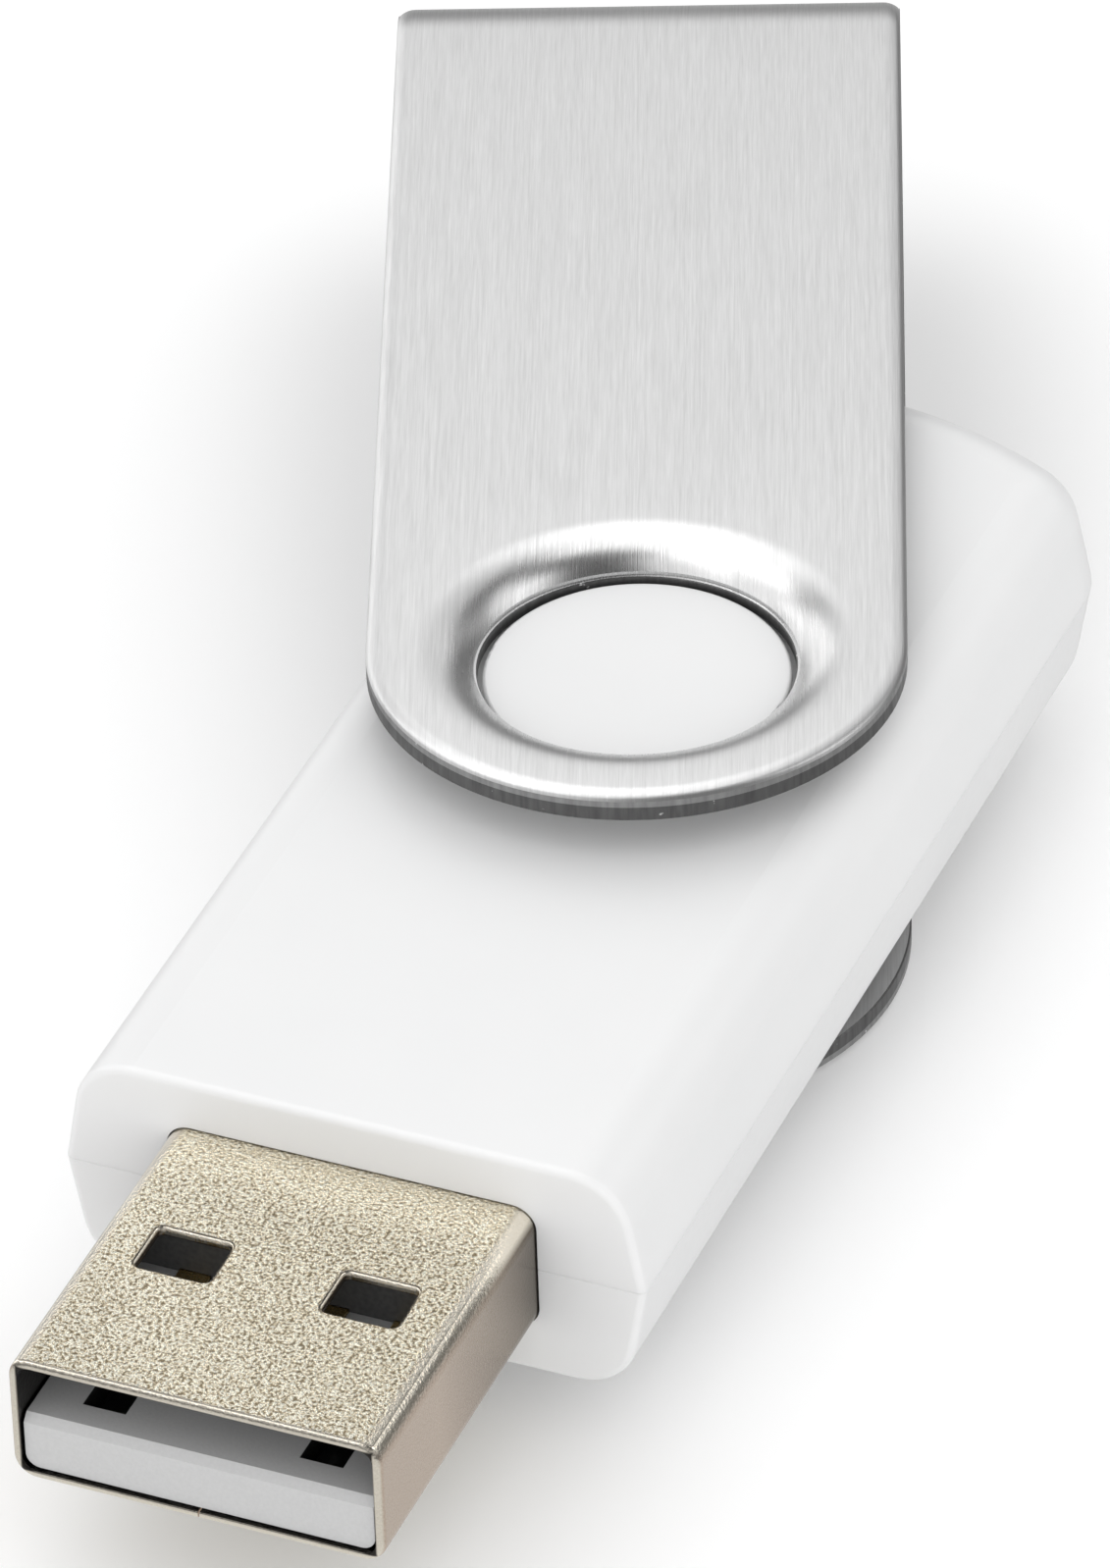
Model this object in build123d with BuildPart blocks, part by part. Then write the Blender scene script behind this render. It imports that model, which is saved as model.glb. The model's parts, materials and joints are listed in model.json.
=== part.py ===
from build123d import *
import os
from math import acos, atan, cos, degrees, radians, sin, sqrt, tan

# A swivel USB flash drive: a moulded housing with a USB-A plug on one end, and a folded metal
# clip that turns freely on two round bosses to cover the plug.
# Millimetres. +X is the way the plug goes in, +Z is up. The origin is on the plug's axis, where
# the plug leaves the housing's front face.

# USB-A plug
PLUG_WIDTH = 12.0
PLUG_HEIGHT = 4.5
PLUG_REACH = 11.75  # from the housing's face to the tip
PLUG_TAIL = 6.4  # length of the metal shell inside the housing
SHEET = 0.3
PLUG_CORNER = 0.75
WINDOW_LENGTH = 1.9
WINDOW_WIDTH = 2.4
WINDOW_SETBACK = 5.3  # from the tip to the window's front edge
WINDOW_PITCH = 6.05
WINDOW_CORNER = 0.2
WINDOW_ROUND = 0.18  # the windows' outer edges are rolled in
MOUTH_ROUND = 0.2
MOUTH_BREAK = 0.05  # on the mouth's inner edge
SEAM_GAP = 0.06
SEAM_KEY_LENGTH = 1.6
SEAM_KEY_DEPTH = 0.7
SEAM_KEYS = (8.4, 1.2)  # where along X the fold's keys are centred
LEG_LENGTH = 2.8
LEG_HEIGHT = 1.3
PRONG_LENGTH = 1.2
PRONG_SETBACK = 1.2
PRONG_DROP = 1.7  # the prong's lower end below the plug's axis

# Plug's insulator, in two pieces, and its four contacts
TONGUE_TOP = 0.0
TONGUE_SETBACK = 0.15
TONGUE_CHAMFER = 0.25
INSULATOR_FIT = 0.07
BLOCK_FIT = 0.01
BLOCK_FRONT = 3.8
BLOCK_REAR = -5.2
CONTACT_WIDTH = 1.0
CONTACT_SHEET = 0.25
CONTACT_PROUD = 0.1
CONTACT_CURL = 0.5
CONTACT_TAIL = -7.8
CONTACT_FIT = 0.02
POWER_PITCH = 7.0
DATA_PITCH = 2.0
POWER_SETBACK = 2.6  # from the tip to the contact's front end
DATA_SETBACK = 3.6
PIT_WIDTH = 1.4
PIT_LENGTH = 1.2
PIT_DEPTH = 1.1
PIT_LEAD = 1.35  # how far the pit runs ahead of its contact

# Housing
HOUSING_LENGTH = 42.1
HOUSING_WIDTH = 19.0
HOUSING_HEIGHT = 8.0
WALL = 1.2
SIDE_DRAFT = 10.0
EDGE_RADIUS = 2.0
FRONT_CORNER = 1.5
FRONT_EDGE = 0.25
REAR_ARC = 17.0
REAR_CORNER = 3.0
SEAM_CHAMFER = 0.03
LIP_INSET = 0.6
LIP_HEIGHT = 0.6
FIT = 0.05
OPENING_GAP = 0.04
CRADLE_X = -4.6
CRADLE_THICKNESS = 0.8
POST_X = (-17.2, -34.0)
POST_Y = 7.2
POST_RADIUS = 0.9
POST_TOP = 0.65
SHOULDER_RADIUS = 1.5
PEG_RADIUS = 0.55
PEG_TOP = 1.6
SOCKET_DEPTH = 1.8
PRESS_RIB_X = (-7.5, -37.0)
PRESS_RIB_Y = 6.9
PRESS_RIB = (0.8, 1.0)

# Swivel: boss on the housing, pressed ring in the clip
PIVOT_X = -23.0
BOSS_RADIUS = 4.85
BOSS_TOP = 4.7
BOSS_ROUND = 0.12
BOSS_ROOT = 0.5

# Clip: one folded strip, turned from straight back by CLIP_TURN
CLIP_TURN = 21.6
CLIP_SHEET = 0.92
CLIP_WIDTH = 16.9
BEND_CENTRE = 36.35
BEND_RADIUS = 4.7
PLATE_SPLAY = 2.0
RING_OUTER = 7.0
RING_HOLE = 5.0
RING_DROP = 0.95
RING_WALL = 0.5
CLIP_EDGE = 0.12

# Circuit board and what is soldered to it
BOARD_TOP = -0.2
BOARD_THICKNESS = 0.8
BOARD_FRONT = -6.45
BOARD_REAR = -38.6
BOARD_WIDTH = 15.0
BOARD_CORNER = 1.5
NOSE_FRONT = -5.3
NOSE_WIDTH = 11.2
NOTCH_RADIUS = 1.0
PRONG_SLOT_GAP = 0.2
PRONG_SIDE_GAP = 0.1
PAD_THICKNESS = 0.05
PAD_WIDTH = 1.2
PAD_REAR = -8.4
LEAD_WIDTH = 0.22
LEAD_PITCH = 0.5
LEAD_SHEET = 0.12
LEAD_KNEE = 0.25  # how far a lead runs out level before it bends down
LEAD_FOOT = 0.5
CHIP_STANDOFF = 0.1
CONTROLLER_X = -13.2
CONTROLLER_Y = 1.2
CONTROLLER_SIZE = 7.0
CONTROLLER_HEIGHT = 1.4
CONTROLLER_SPAN = 9.0
CONTROLLER_SIDE_LEADS = 12
FLASH_X = -28.1
FLASH_LENGTH = 18.4
FLASH_WIDTH = 12.0
FLASH_HEIGHT = 1.0
FLASH_SPAN = 20.0
FLASH_END_LEADS = 24
CHIP_CHAMFER = 0.12
PIN_MARK_RADIUS = 0.4
PIN_MARK_DEPTH = 0.1
PIN_MARK_INSET = 1.0
CRYSTAL_X = -13.0
CRYSTAL_Y = -5.6
CRYSTAL_SIZE = (3.2, 2.5, 0.7)
CHIP_PART_LENGTH = 1.6
CHIP_PART_SIDE = 0.8
TERMINAL_LENGTH = 0.3
RESISTOR_HEIGHT = 0.45
CAPACITOR_CENTRE = (-12.0, 6.7)
CAPACITOR_PITCH = 2.4
CAPACITOR_COUNT = 3
RESISTOR_CENTRE = (-14.0, 0.0)
RESISTOR_PITCH = 2.4
RESISTOR_COUNT = 3
SOLDER_HEIGHT = 0.35
SOLDER_TAPER = 30.0

# Worked out
plug_tip = PLUG_REACH
plug_inner_corner = PLUG_CORNER - SHEET
insulator_width = PLUG_WIDTH - 2 * SHEET - 2 * INSULATOR_FIT
insulator_height = PLUG_HEIGHT - 2 * SHEET - 2 * INSULATOR_FIT
contact_top = TONGUE_TOP + CONTACT_PROUD
board_bottom = BOARD_TOP - BOARD_THICKNESS
leg_y = PLUG_WIDTH / 2 - SHEET / 2
prong_x = -PLUG_TAIL - PRONG_SETBACK - PRONG_LENGTH / 2
half_height = HOUSING_HEIGHT / 2
inside_height = half_height - WALL
clip_turn = radians(CLIP_TURN)
splay = radians(PLATE_SPLAY)
clip_along = Vector(-cos(clip_turn), -sin(clip_turn), 0)
up = Vector(0, 0, 1)
pivot = Vector(PIVOT_X, 0, 0)

os.makedirs("parts", exist_ok=True)


# ---------------------------------------------------------------- housing


def housing_plan(inset, front_x, front_corner):
    """The housing seen from above: straight sides, a bowed rear end and rounded corners."""
    half_width = HOUSING_WIDTH / 2 - inset
    rear_x = -HOUSING_LENGTH + inset
    arc = REAR_ARC - inset
    side_end = rear_x + arc - sqrt(arc**2 - half_width**2)
    with BuildSketch(Plane.XY) as plan:
        with BuildLine():
            Line((front_x, half_width), (side_end, half_width))
            ThreePointArc((side_end, half_width), (rear_x, 0), (side_end, -half_width))
            Line((side_end, -half_width), (front_x, -half_width))
            Line((front_x, -half_width), (front_x, half_width))
        make_face()
        corners = plan.vertices().sort_by(Axis.X)
        fillet(corners[:2], REAR_CORNER - inset)
        if front_corner > 0:
            fillet(corners[2:], front_corner)
    return plan.sketch


def housing_blank(inset, edge_radius, front_corner):
    """The housing's upper half as a solid, shrunk by an inset: drafted sides, rounded top edges."""
    overrun = 2 * FRONT_CORNER
    with BuildPart() as blank:
        add(housing_plan(inset, overrun, 0))
        extrude(amount=half_height - inset, taper=SIDE_DRAFT)
        top_edges = blank.faces().sort_by(Axis.Z)[-1].edges().sort_by(Axis.X)
        fillet(top_edges[:-1], edge_radius)
        add(housing_plan(inset, -inset, front_corner))
        extrude(amount=half_height, mode=Mode.INTERSECT)
    return blank.part


def seam_ring(outer_inset, height):
    """An upright ring just inside the housing's outline, as wide as the wall's inner part."""
    with BuildPart() as ring:
        with BuildSketch(Plane.XY):
            add(housing_plan(outer_inset, -outer_inset, FRONT_CORNER - outer_inset))
            add(housing_plan(WALL, -WALL, 0), mode=Mode.SUBTRACT)
        extrude(amount=height)
    return ring.part


def plug_opening():
    """The prism that clears the plug through the front wall."""
    with BuildPart() as opening:
        with BuildSketch(Plane.YZ.offset(-2 * WALL)):
            RectangleRounded(
                PLUG_WIDTH + 2 * OPENING_GAP, PLUG_HEIGHT + 2 * OPENING_GAP, PLUG_CORNER + OPENING_GAP
            )
        extrude(amount=3 * WALL)
    return opening.part


def cradle():
    """A rib across the upper half that grips the plug's metal shell."""
    with BuildPart() as rib:
        with BuildSketch(Plane.YZ.offset(CRADLE_X)):
            with Locations((0, FIT / 2)):
                Rectangle(
                    HOUSING_WIDTH - 2 * WALL - FIT,
                    inside_height + WALL / 2,
                    align=(Align.CENTER, Align.MIN),
                )
            RectangleRounded(
                PLUG_WIDTH + 2 * FIT, PLUG_HEIGHT + 2 * FIT, PLUG_CORNER, mode=Mode.SUBTRACT
            )
        extrude(amount=CRADLE_THICKNESS)
    return rib.part


post_places = [(x, y) for x in POST_X for y in (-POST_Y, POST_Y)]
press_places = [(x, y) for x in PRESS_RIB_X for y in (-PRESS_RIB_Y, PRESS_RIB_Y)]
upper_hollow = housing_blank(WALL, EDGE_RADIUS - WALL / 2, 0)
upper_cradle = cradle()
front_opening = plug_opening()

with BuildPart() as upper_half:
    add(housing_blank(0, EDGE_RADIUS, FRONT_CORNER))
    front_edge = upper_half.edges().filter_by(Axis.Y).group_by(Axis.X)[-1].sort_by(Axis.Z)[-1]
    fillet(front_edge, FRONT_EDGE)
    chamfer(upper_half.edges().group_by(Axis.Z)[0], SEAM_CHAMFER)
upper_blank = upper_half.part

with BuildPart() as top_shell:
    # posts and ribs first, trimmed to the housing's outer shape
    with BuildSketch(Plane.XY.offset(POST_TOP + FIT)):
        with Locations(*post_places):
            Circle(POST_RADIUS)
    extrude(amount=inside_height + WALL / 2 - POST_TOP)
    with BuildSketch(Plane.XY.offset(POST_TOP + FIT)):
        with Locations(*post_places):
            Circle(PEG_RADIUS + FIT)
    extrude(amount=SOCKET_DEPTH - POST_TOP, mode=Mode.SUBTRACT)
    with BuildSketch(Plane.XY):
        with Locations(*press_places):
            Rectangle(*PRESS_RIB)
    extrude(amount=inside_height + WALL / 2)
    add(upper_cradle)
    add(upper_blank, mode=Mode.INTERSECT)
    add(upper_blank - upper_hollow)
    # the press ribs reach below the seam to the board
    with BuildSketch(Plane.XY.offset(BOARD_TOP + FIT)):
        with Locations(*press_places):
            Rectangle(*PRESS_RIB)
    extrude(amount=-BOARD_TOP)
    # rabbet that takes the lower shell's lip
    add(seam_ring(LIP_INSET - FIT, LIP_HEIGHT + FIT), mode=Mode.SUBTRACT)
    add(front_opening, mode=Mode.SUBTRACT)
    # swivel boss
    with BuildSketch(Plane.XY.offset(half_height - BOSS_ROOT)):
        with Locations((PIVOT_X, 0)):
            Circle(BOSS_RADIUS)
    extrude(amount=BOSS_TOP - half_height + BOSS_ROOT)
    boss_rim = top_shell.faces().sort_by(Axis.Z)[-1].edges()
    fillet(boss_rim, BOSS_ROUND)
top_shell.part.label = "top_shell"
export_step(top_shell.part, "parts/top_shell.step")

with BuildPart() as bottom_shell:
    with BuildSketch(Plane.XY):
        with Locations(*post_places):
            Circle(POST_RADIUS)
    extrude(amount=-inside_height - WALL / 2)
    with BuildSketch(Plane.XY.offset(board_bottom)):
        with Locations(*post_places):
            Circle(SHOULDER_RADIUS)
        with Locations(*press_places):
            Rectangle(*PRESS_RIB)
    extrude(amount=-inside_height - WALL / 2 - board_bottom)
    mirror(upper_cradle, about=Plane.XY)
    mirror(upper_blank, about=Plane.XY, mode=Mode.INTERSECT)
    mirror(upper_blank - upper_hollow, about=Plane.XY)
    # lip, post tops and pegs stand above the seam
    add(seam_ring(LIP_INSET, LIP_HEIGHT))
    with BuildSketch(Plane.XY):
        with Locations(*post_places):
            Circle(POST_RADIUS)
    extrude(amount=POST_TOP)
    with BuildSketch(Plane.XY.offset(POST_TOP)):
        with Locations(*post_places):
            Circle(PEG_RADIUS)
    extrude(amount=PEG_TOP - POST_TOP)
    add(front_opening, mode=Mode.SUBTRACT)
    with BuildSketch(Plane.XY.offset(-half_height + BOSS_ROOT)):
        with Locations((PIVOT_X, 0)):
            Circle(BOSS_RADIUS)
    extrude(amount=half_height - BOSS_TOP - BOSS_ROOT)
    boss_rim = bottom_shell.faces().sort_by(Axis.Z)[0].edges()
    fillet(boss_rim, BOSS_ROUND)
bottom_shell.part.label = "bottom_shell"
export_step(bottom_shell.part, "parts/bottom_shell.step")


# ---------------------------------------------------------------- swivel clip

clip_top = Plane(origin=pivot, x_dir=clip_along, z_dir=up)
clip_side = Plane(origin=pivot, x_dir=clip_along, z_dir=clip_along.cross(up))
plate_height = BEND_RADIUS * cos(splay) + (BEND_CENTRE + BEND_RADIUS * sin(splay)) * tan(splay)
ring_axis = clip_along * sin(splay) + up * cos(splay)
ring_out = clip_along * cos(splay) - up * sin(splay)
ring_centre = pivot + up * plate_height
ring_plane = Plane(origin=ring_centre, x_dir=ring_out, z_dir=ring_axis)
ring_section = Plane(origin=ring_centre, x_dir=ring_out, z_dir=ring_out.cross(ring_axis))


def half_clip_region(radius):
    """The upper half of the clip's side view, filled in, out to a bend of the given radius."""
    touch = (BEND_CENTRE + radius * sin(splay), radius * cos(splay))
    start_x = -CLIP_WIDTH
    start = (start_x, touch[1] + (touch[0] - start_x) * tan(splay))
    middle_angle = (radians(90) - splay) / 2
    middle = (BEND_CENTRE + radius * cos(middle_angle), radius * sin(middle_angle))
    end = (BEND_CENTRE + radius, 0)
    with BuildSketch(clip_side) as region:
        with BuildLine():
            Line(start, touch)
            ThreePointArc(touch, middle, end)
            Polyline(end, (start_x, 0), start)
        make_face()
    return region.sketch


# the ring's section is an arc from the plate down to the hole
ring_width = RING_OUTER - RING_HOLE
ring_angle = 2 * atan(RING_DROP / ring_width)
ring_radius = ring_width / sin(ring_angle)
ring_inner_radius = ring_radius - CLIP_SHEET
wall_foot = -RING_DROP - RING_WALL
foot_angle = acos((wall_foot + ring_radius) / ring_inner_radius)

with BuildPart() as swivel_clip:
    extrude(half_clip_region(BEND_RADIUS), amount=CLIP_WIDTH / 2, both=True)
    extrude(
        half_clip_region(BEND_RADIUS - CLIP_SHEET),
        amount=CLIP_WIDTH / 2,
        both=True,
        mode=Mode.SUBTRACT,
    )
    with BuildSketch(clip_top):
        Circle(CLIP_WIDTH / 2)
        Rectangle(BEND_CENTRE + 2 * BEND_RADIUS, CLIP_WIDTH, align=(Align.MIN, Align.CENTER))
    extrude(amount=2 * BEND_RADIUS, mode=Mode.INTERSECT)
    plate_edges = swivel_clip.edges().filter_by(
        lambda edge: edge.length > CLIP_WIDTH and abs(edge.tangent_at(0.5).Z) < sin(2 * splay)
    )
    fillet(plate_edges, CLIP_EDGE)
    with BuildSketch(ring_plane):
        Circle(RING_OUTER)
    extrude(amount=2 * CLIP_SHEET, both=True, mode=Mode.SUBTRACT)
    with BuildSketch(ring_section):
        with BuildLine():
            rolled = CenterArc((RING_OUTER, -ring_radius), ring_radius, 90, degrees(ring_angle))
            under = CenterArc((RING_OUTER, -ring_radius), ring_inner_radius, 90, degrees(foot_angle))
            Polyline(rolled @ 1, (RING_HOLE, wall_foot), under @ 1)
            Line(rolled @ 0, under @ 0)
        make_face()
    revolve(axis=Axis(ring_centre, ring_axis))
    mirror(about=Plane.XY)
swivel_clip.part.label = "swivel_clip"
export_step(swivel_clip.part, "parts/swivel_clip.step")


# ---------------------------------------------------------------- USB plug

window_x = plug_tip - WINDOW_SETBACK - WINDOW_LENGTH / 2

with BuildPart() as plug_shell:
    with BuildSketch(Plane.YZ.offset(-PLUG_TAIL)):
        RectangleRounded(PLUG_WIDTH, PLUG_HEIGHT, PLUG_CORNER)
        RectangleRounded(
            PLUG_WIDTH - 2 * SHEET, PLUG_HEIGHT - 2 * SHEET, plug_inner_corner, mode=Mode.SUBTRACT
        )
    extrude(amount=PLUG_TAIL + plug_tip)
    mouth = plug_shell.faces().sort_by(Axis.X)[-1]
    fillet(mouth.outer_wire().edges(), MOUTH_ROUND)
    mouth = plug_shell.faces().sort_by(Axis.X)[-1]
    fillet(mouth.inner_wires()[0].edges(), MOUTH_BREAK)
    # two latch windows in the top and two in the underside
    with BuildSketch(Plane.XY):
        with Locations((window_x, 0)):
            with GridLocations(0, WINDOW_PITCH, 1, 2):
                RectangleRounded(WINDOW_LENGTH, WINDOW_WIDTH, WINDOW_CORNER)
    extrude(amount=PLUG_HEIGHT, both=True, mode=Mode.SUBTRACT)
    flat_faces = plug_shell.faces().filter_by(Axis.Z).group_by(Axis.Z)
    outer_faces = flat_faces[0] + flat_faces[-1]
    window_rims = [edge for face in outer_faces for rim in face.inner_wires() for edge in rim.edges()]
    fillet(window_rims, WINDOW_ROUND)
    # the strip's two edges meet under the plug in a keyed seam
    with BuildSketch(Plane.XY.offset(-PLUG_HEIGHT)):
        with Locations(((plug_tip - PLUG_TAIL) / 2, 0)):
            Rectangle(plug_tip + PLUG_TAIL + SHEET, SEAM_GAP)
        for key_x in SEAM_KEYS:
            with Locations((key_x, SEAM_KEY_DEPTH / 2)):
                Rectangle(SEAM_KEY_LENGTH, SEAM_KEY_DEPTH + SEAM_GAP)
                Rectangle(
                    SEAM_KEY_LENGTH - 2 * SEAM_GAP, SEAM_KEY_DEPTH - SEAM_GAP, mode=Mode.SUBTRACT
                )
            with Locations((key_x, 0)):
                Rectangle(SEAM_KEY_LENGTH - 2 * SEAM_GAP, 2 * SEAM_GAP, mode=Mode.SUBTRACT)
    extrude(amount=PLUG_HEIGHT - insulator_height / 2, mode=Mode.SUBTRACT)
    # solder legs and their prongs
    with BuildSketch(Plane.XZ):
        with Locations((-PLUG_TAIL, BOARD_TOP + FIT)):
            Rectangle(LEG_LENGTH, LEG_HEIGHT, align=(Align.MAX, Align.MIN))
        with Locations((prong_x, -PRONG_DROP)):
            Rectangle(PRONG_LENGTH, PRONG_DROP, align=(Align.CENTER, Align.MIN))
    extrude(amount=PLUG_WIDTH / 2, both=True)
    with BuildSketch(Plane.XY.offset(-PLUG_HEIGHT)):
        with Locations((-PLUG_TAIL, 0)):
            Rectangle(
                2 * LEG_LENGTH, PLUG_WIDTH - 2 * SHEET, align=(Align.MAX, Align.CENTER)
            )
    extrude(amount=2 * PLUG_HEIGHT, mode=Mode.SUBTRACT)
plug_shell.part.label = "plug_shell"
export_step(plug_shell.part, "parts/plug_shell.step")

# name, place across the plug and setback from the tip of each contact
contacts = {
    "vbus_contact": (-POWER_PITCH / 2, POWER_SETBACK),
    "data_minus_contact": (-DATA_PITCH / 2, DATA_SETBACK),
    "data_plus_contact": (DATA_PITCH / 2, DATA_SETBACK),
    "ground_contact": (POWER_PITCH / 2, POWER_SETBACK),
}
contact_places = [place for place, setback in contacts.values()]


def insulator_bar(front, low, high):
    """A length of the insulator from the block's rear to a front, between two heights."""
    with BuildPart() as bar:
        with BuildSketch(Plane.YZ.offset(BLOCK_REAR)):
            RectangleRounded(insulator_width, insulator_height, plug_inner_corner)
        extrude(amount=front - BLOCK_REAR)
        with BuildSketch(Plane.XY.offset(low)):
            with Locations((BLOCK_REAR, 0)):
                Rectangle(front - BLOCK_REAR, PLUG_WIDTH, align=(Align.MIN, Align.CENTER))
        extrude(amount=high - low, mode=Mode.INTERSECT)
    return bar.part


with BuildPart() as plug_tongue:
    add(insulator_bar(plug_tip - TONGUE_SETBACK, -PLUG_HEIGHT, TONGUE_TOP))
    nose_edge = plug_tongue.edges().filter_by(Axis.Y).group_by(Axis.X)[-1].sort_by(Axis.Z)[-1]
    chamfer(nose_edge, TONGUE_CHAMFER)
    for place, setback in contacts.values():
        front = plug_tip - setback
        with BuildSketch(Plane.XY.offset(contact_top - CONTACT_SHEET - CONTACT_FIT / 2)):
            with Locations((front, place)):
                Rectangle(
                    front - BLOCK_REAR + FIT,
                    CONTACT_WIDTH + 2 * CONTACT_FIT,
                    align=(Align.MAX, Align.CENTER),
                )
        extrude(amount=CONTACT_SHEET + CONTACT_FIT, mode=Mode.SUBTRACT)
        with BuildSketch(Plane.XY.offset(TONGUE_TOP + FIT)):
            with Locations((front + PIT_LEAD, place)):
                Rectangle(PIT_LENGTH + PIT_LEAD, PIT_WIDTH, align=(Align.MAX, Align.CENTER))
        extrude(amount=-PIT_DEPTH, mode=Mode.SUBTRACT)
plug_tongue.part.label = "plug_tongue"
export_step(plug_tongue.part, "parts/plug_tongue.step")

with BuildPart() as plug_block:
    # sits on the tongue's rear and holds the contacts down
    add(insulator_bar(BLOCK_FRONT, TONGUE_TOP + BLOCK_FIT, PLUG_HEIGHT))
    with BuildSketch(Plane.YZ.offset(BLOCK_REAR)):
        with Locations(*[(place, TONGUE_TOP) for place in contact_places]):
            Rectangle(CONTACT_WIDTH + 2 * CONTACT_FIT, 2 * CONTACT_PROUD + 2 * CONTACT_FIT)
    extrude(amount=BLOCK_FRONT - BLOCK_REAR, mode=Mode.SUBTRACT)
plug_block.part.label = "plug_block"
export_step(plug_block.part, "parts/plug_block.step")


def contact_strip(place, setback):
    """One contact: a flat strip whose front end curls down into its pit."""
    curl_x = plug_tip - setback - CONTACT_CURL
    curl_z = contact_top - CONTACT_CURL
    inner_curl = CONTACT_CURL - CONTACT_SHEET
    with BuildPart() as strip:
        with BuildSketch(Plane.XZ.offset(-place)):
            with BuildLine():
                outer = CenterArc((curl_x, curl_z), CONTACT_CURL, 0, 90)
                inner = CenterArc((curl_x, curl_z), inner_curl, 0, 90)
                Line(outer @ 0, inner @ 0)
                Polyline(
                    outer @ 1,
                    (CONTACT_TAIL, contact_top),
                    (CONTACT_TAIL, contact_top - CONTACT_SHEET),
                    inner @ 1,
                )
            make_face()
        extrude(amount=CONTACT_WIDTH / 2, both=True)
    return strip.part


for contact_name, (place, setback) in contacts.items():
    with BuildPart() as contact:
        add(contact_strip(place, setback))
    contact.part.label = contact_name
    export_step(contact.part, f"parts/{contact_name}.step")


# ---------------------------------------------------------------- circuit board

with BuildPart() as circuit_board:
    with BuildSketch(Plane.XY.offset(board_bottom)) as board_plan:
        with Locations((BOARD_FRONT, 0)):
            Rectangle(BOARD_FRONT - BOARD_REAR, BOARD_WIDTH, align=(Align.MAX, Align.CENTER))
        rear_corners = board_plan.vertices().group_by(Axis.X)[0]
        fillet(rear_corners, BOARD_CORNER)
        with Locations((NOSE_FRONT, 0)):
            Rectangle(NOSE_FRONT - BOARD_FRONT + FIT, NOSE_WIDTH, align=(Align.MAX, Align.CENTER))
        with Locations(*post_places):
            Circle(NOTCH_RADIUS, mode=Mode.SUBTRACT)
        with Locations(*[(x, side * BOARD_WIDTH / 2) for x in POST_X for side in (-1, 1)]):
            Rectangle(2 * NOTCH_RADIUS, BOARD_WIDTH - 2 * POST_Y, mode=Mode.SUBTRACT)
        with Locations((prong_x, -leg_y), (prong_x, leg_y)):
            Rectangle(
                PRONG_LENGTH + 2 * PRONG_SLOT_GAP, SHEET + 2 * PRONG_SIDE_GAP, mode=Mode.SUBTRACT
            )
    extrude(amount=BOARD_THICKNESS)
circuit_board.part.label = "circuit_board"
export_step(circuit_board.part, "parts/circuit_board.step")

with BuildPart() as solder_pads:
    with BuildSketch(Plane.XY.offset(BOARD_TOP)):
        with Locations(*[(NOSE_FRONT, place) for place in contact_places]):
            Rectangle(NOSE_FRONT - PAD_REAR, PAD_WIDTH, align=(Align.MAX, Align.CENTER))
    extrude(amount=PAD_THICKNESS)
solder_pads.part.label = "solder_pads"
export_step(solder_pads.part, "parts/solder_pads.step")


def chip_body(centre, length, width, height):
    """A moulded chip with chamfered top edges and a round mark in one corner."""
    with BuildPart() as body:
        with BuildSketch(Plane.XY.offset(BOARD_TOP + CHIP_STANDOFF)):
            with Locations(centre):
                Rectangle(length, width)
        extrude(amount=height)
        top = body.faces().sort_by(Axis.Z)[-1]
        chamfer(top.edges(), CHIP_CHAMFER)
        mark_plane = Plane.XY.offset(BOARD_TOP + CHIP_STANDOFF + height - PIN_MARK_DEPTH)
        mark_x = centre[0] + length / 2 - PIN_MARK_INSET
        mark_y = centre[1] - width / 2 + PIN_MARK_INSET
        with BuildSketch(mark_plane):
            with Locations((mark_x, mark_y)):
                Circle(PIN_MARK_RADIUS)
        extrude(amount=PIN_MARK_DEPTH, mode=Mode.SUBTRACT)
    return body.part


def gull_leads(centre, body, span, height, angles, count):
    """Rows of gull-wing leads on the given sides of a chip."""
    middle = CHIP_STANDOFF + height / 2
    inner = body / 2
    outer = span / 2
    shoulder = inner + LEAD_KNEE
    ankle = max(outer - LEAD_FOOT, shoulder + LEAD_SHEET)
    offsets = [(index - (count - 1) / 2) * LEAD_PITCH for index in range(count)]
    planes = []
    for angle in angles:
        out = Vector(cos(radians(angle)), sin(radians(angle)), 0)
        side = Plane(origin=(*centre, BOARD_TOP), x_dir=out, z_dir=out.cross(up))
        planes += [side.offset(distance) for distance in offsets]
    with BuildPart() as leads:
        with BuildSketch(*planes):
            with BuildLine():
                Polyline(
                    (inner, middle + LEAD_SHEET / 2),
                    (shoulder, middle + LEAD_SHEET / 2),
                    (ankle, LEAD_SHEET),
                    (outer, LEAD_SHEET),
                    (outer, 0),
                    (ankle - LEAD_SHEET, 0),
                    (shoulder - LEAD_SHEET / 2, middle - LEAD_SHEET / 2),
                    (inner, middle - LEAD_SHEET / 2),
                    close=True,
                )
            make_face()
        extrude(amount=LEAD_WIDTH / 2, both=True)
    return leads.part


controller_centre = (CONTROLLER_X, CONTROLLER_Y)
flash_centre = (FLASH_X, 0)

with BuildPart() as controller_chip:
    add(chip_body(controller_centre, CONTROLLER_SIZE, CONTROLLER_SIZE, CONTROLLER_HEIGHT))
controller_chip.part.label = "controller_chip"
export_step(controller_chip.part, "parts/controller_chip.step")

with BuildPart() as controller_leads:
    add(
        gull_leads(
            controller_centre,
            CONTROLLER_SIZE,
            CONTROLLER_SPAN,
            CONTROLLER_HEIGHT,
            (0, 90, 180, 270),
            CONTROLLER_SIDE_LEADS,
        )
    )
controller_leads.part.label = "controller_leads"
export_step(controller_leads.part, "parts/controller_leads.step")

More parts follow.
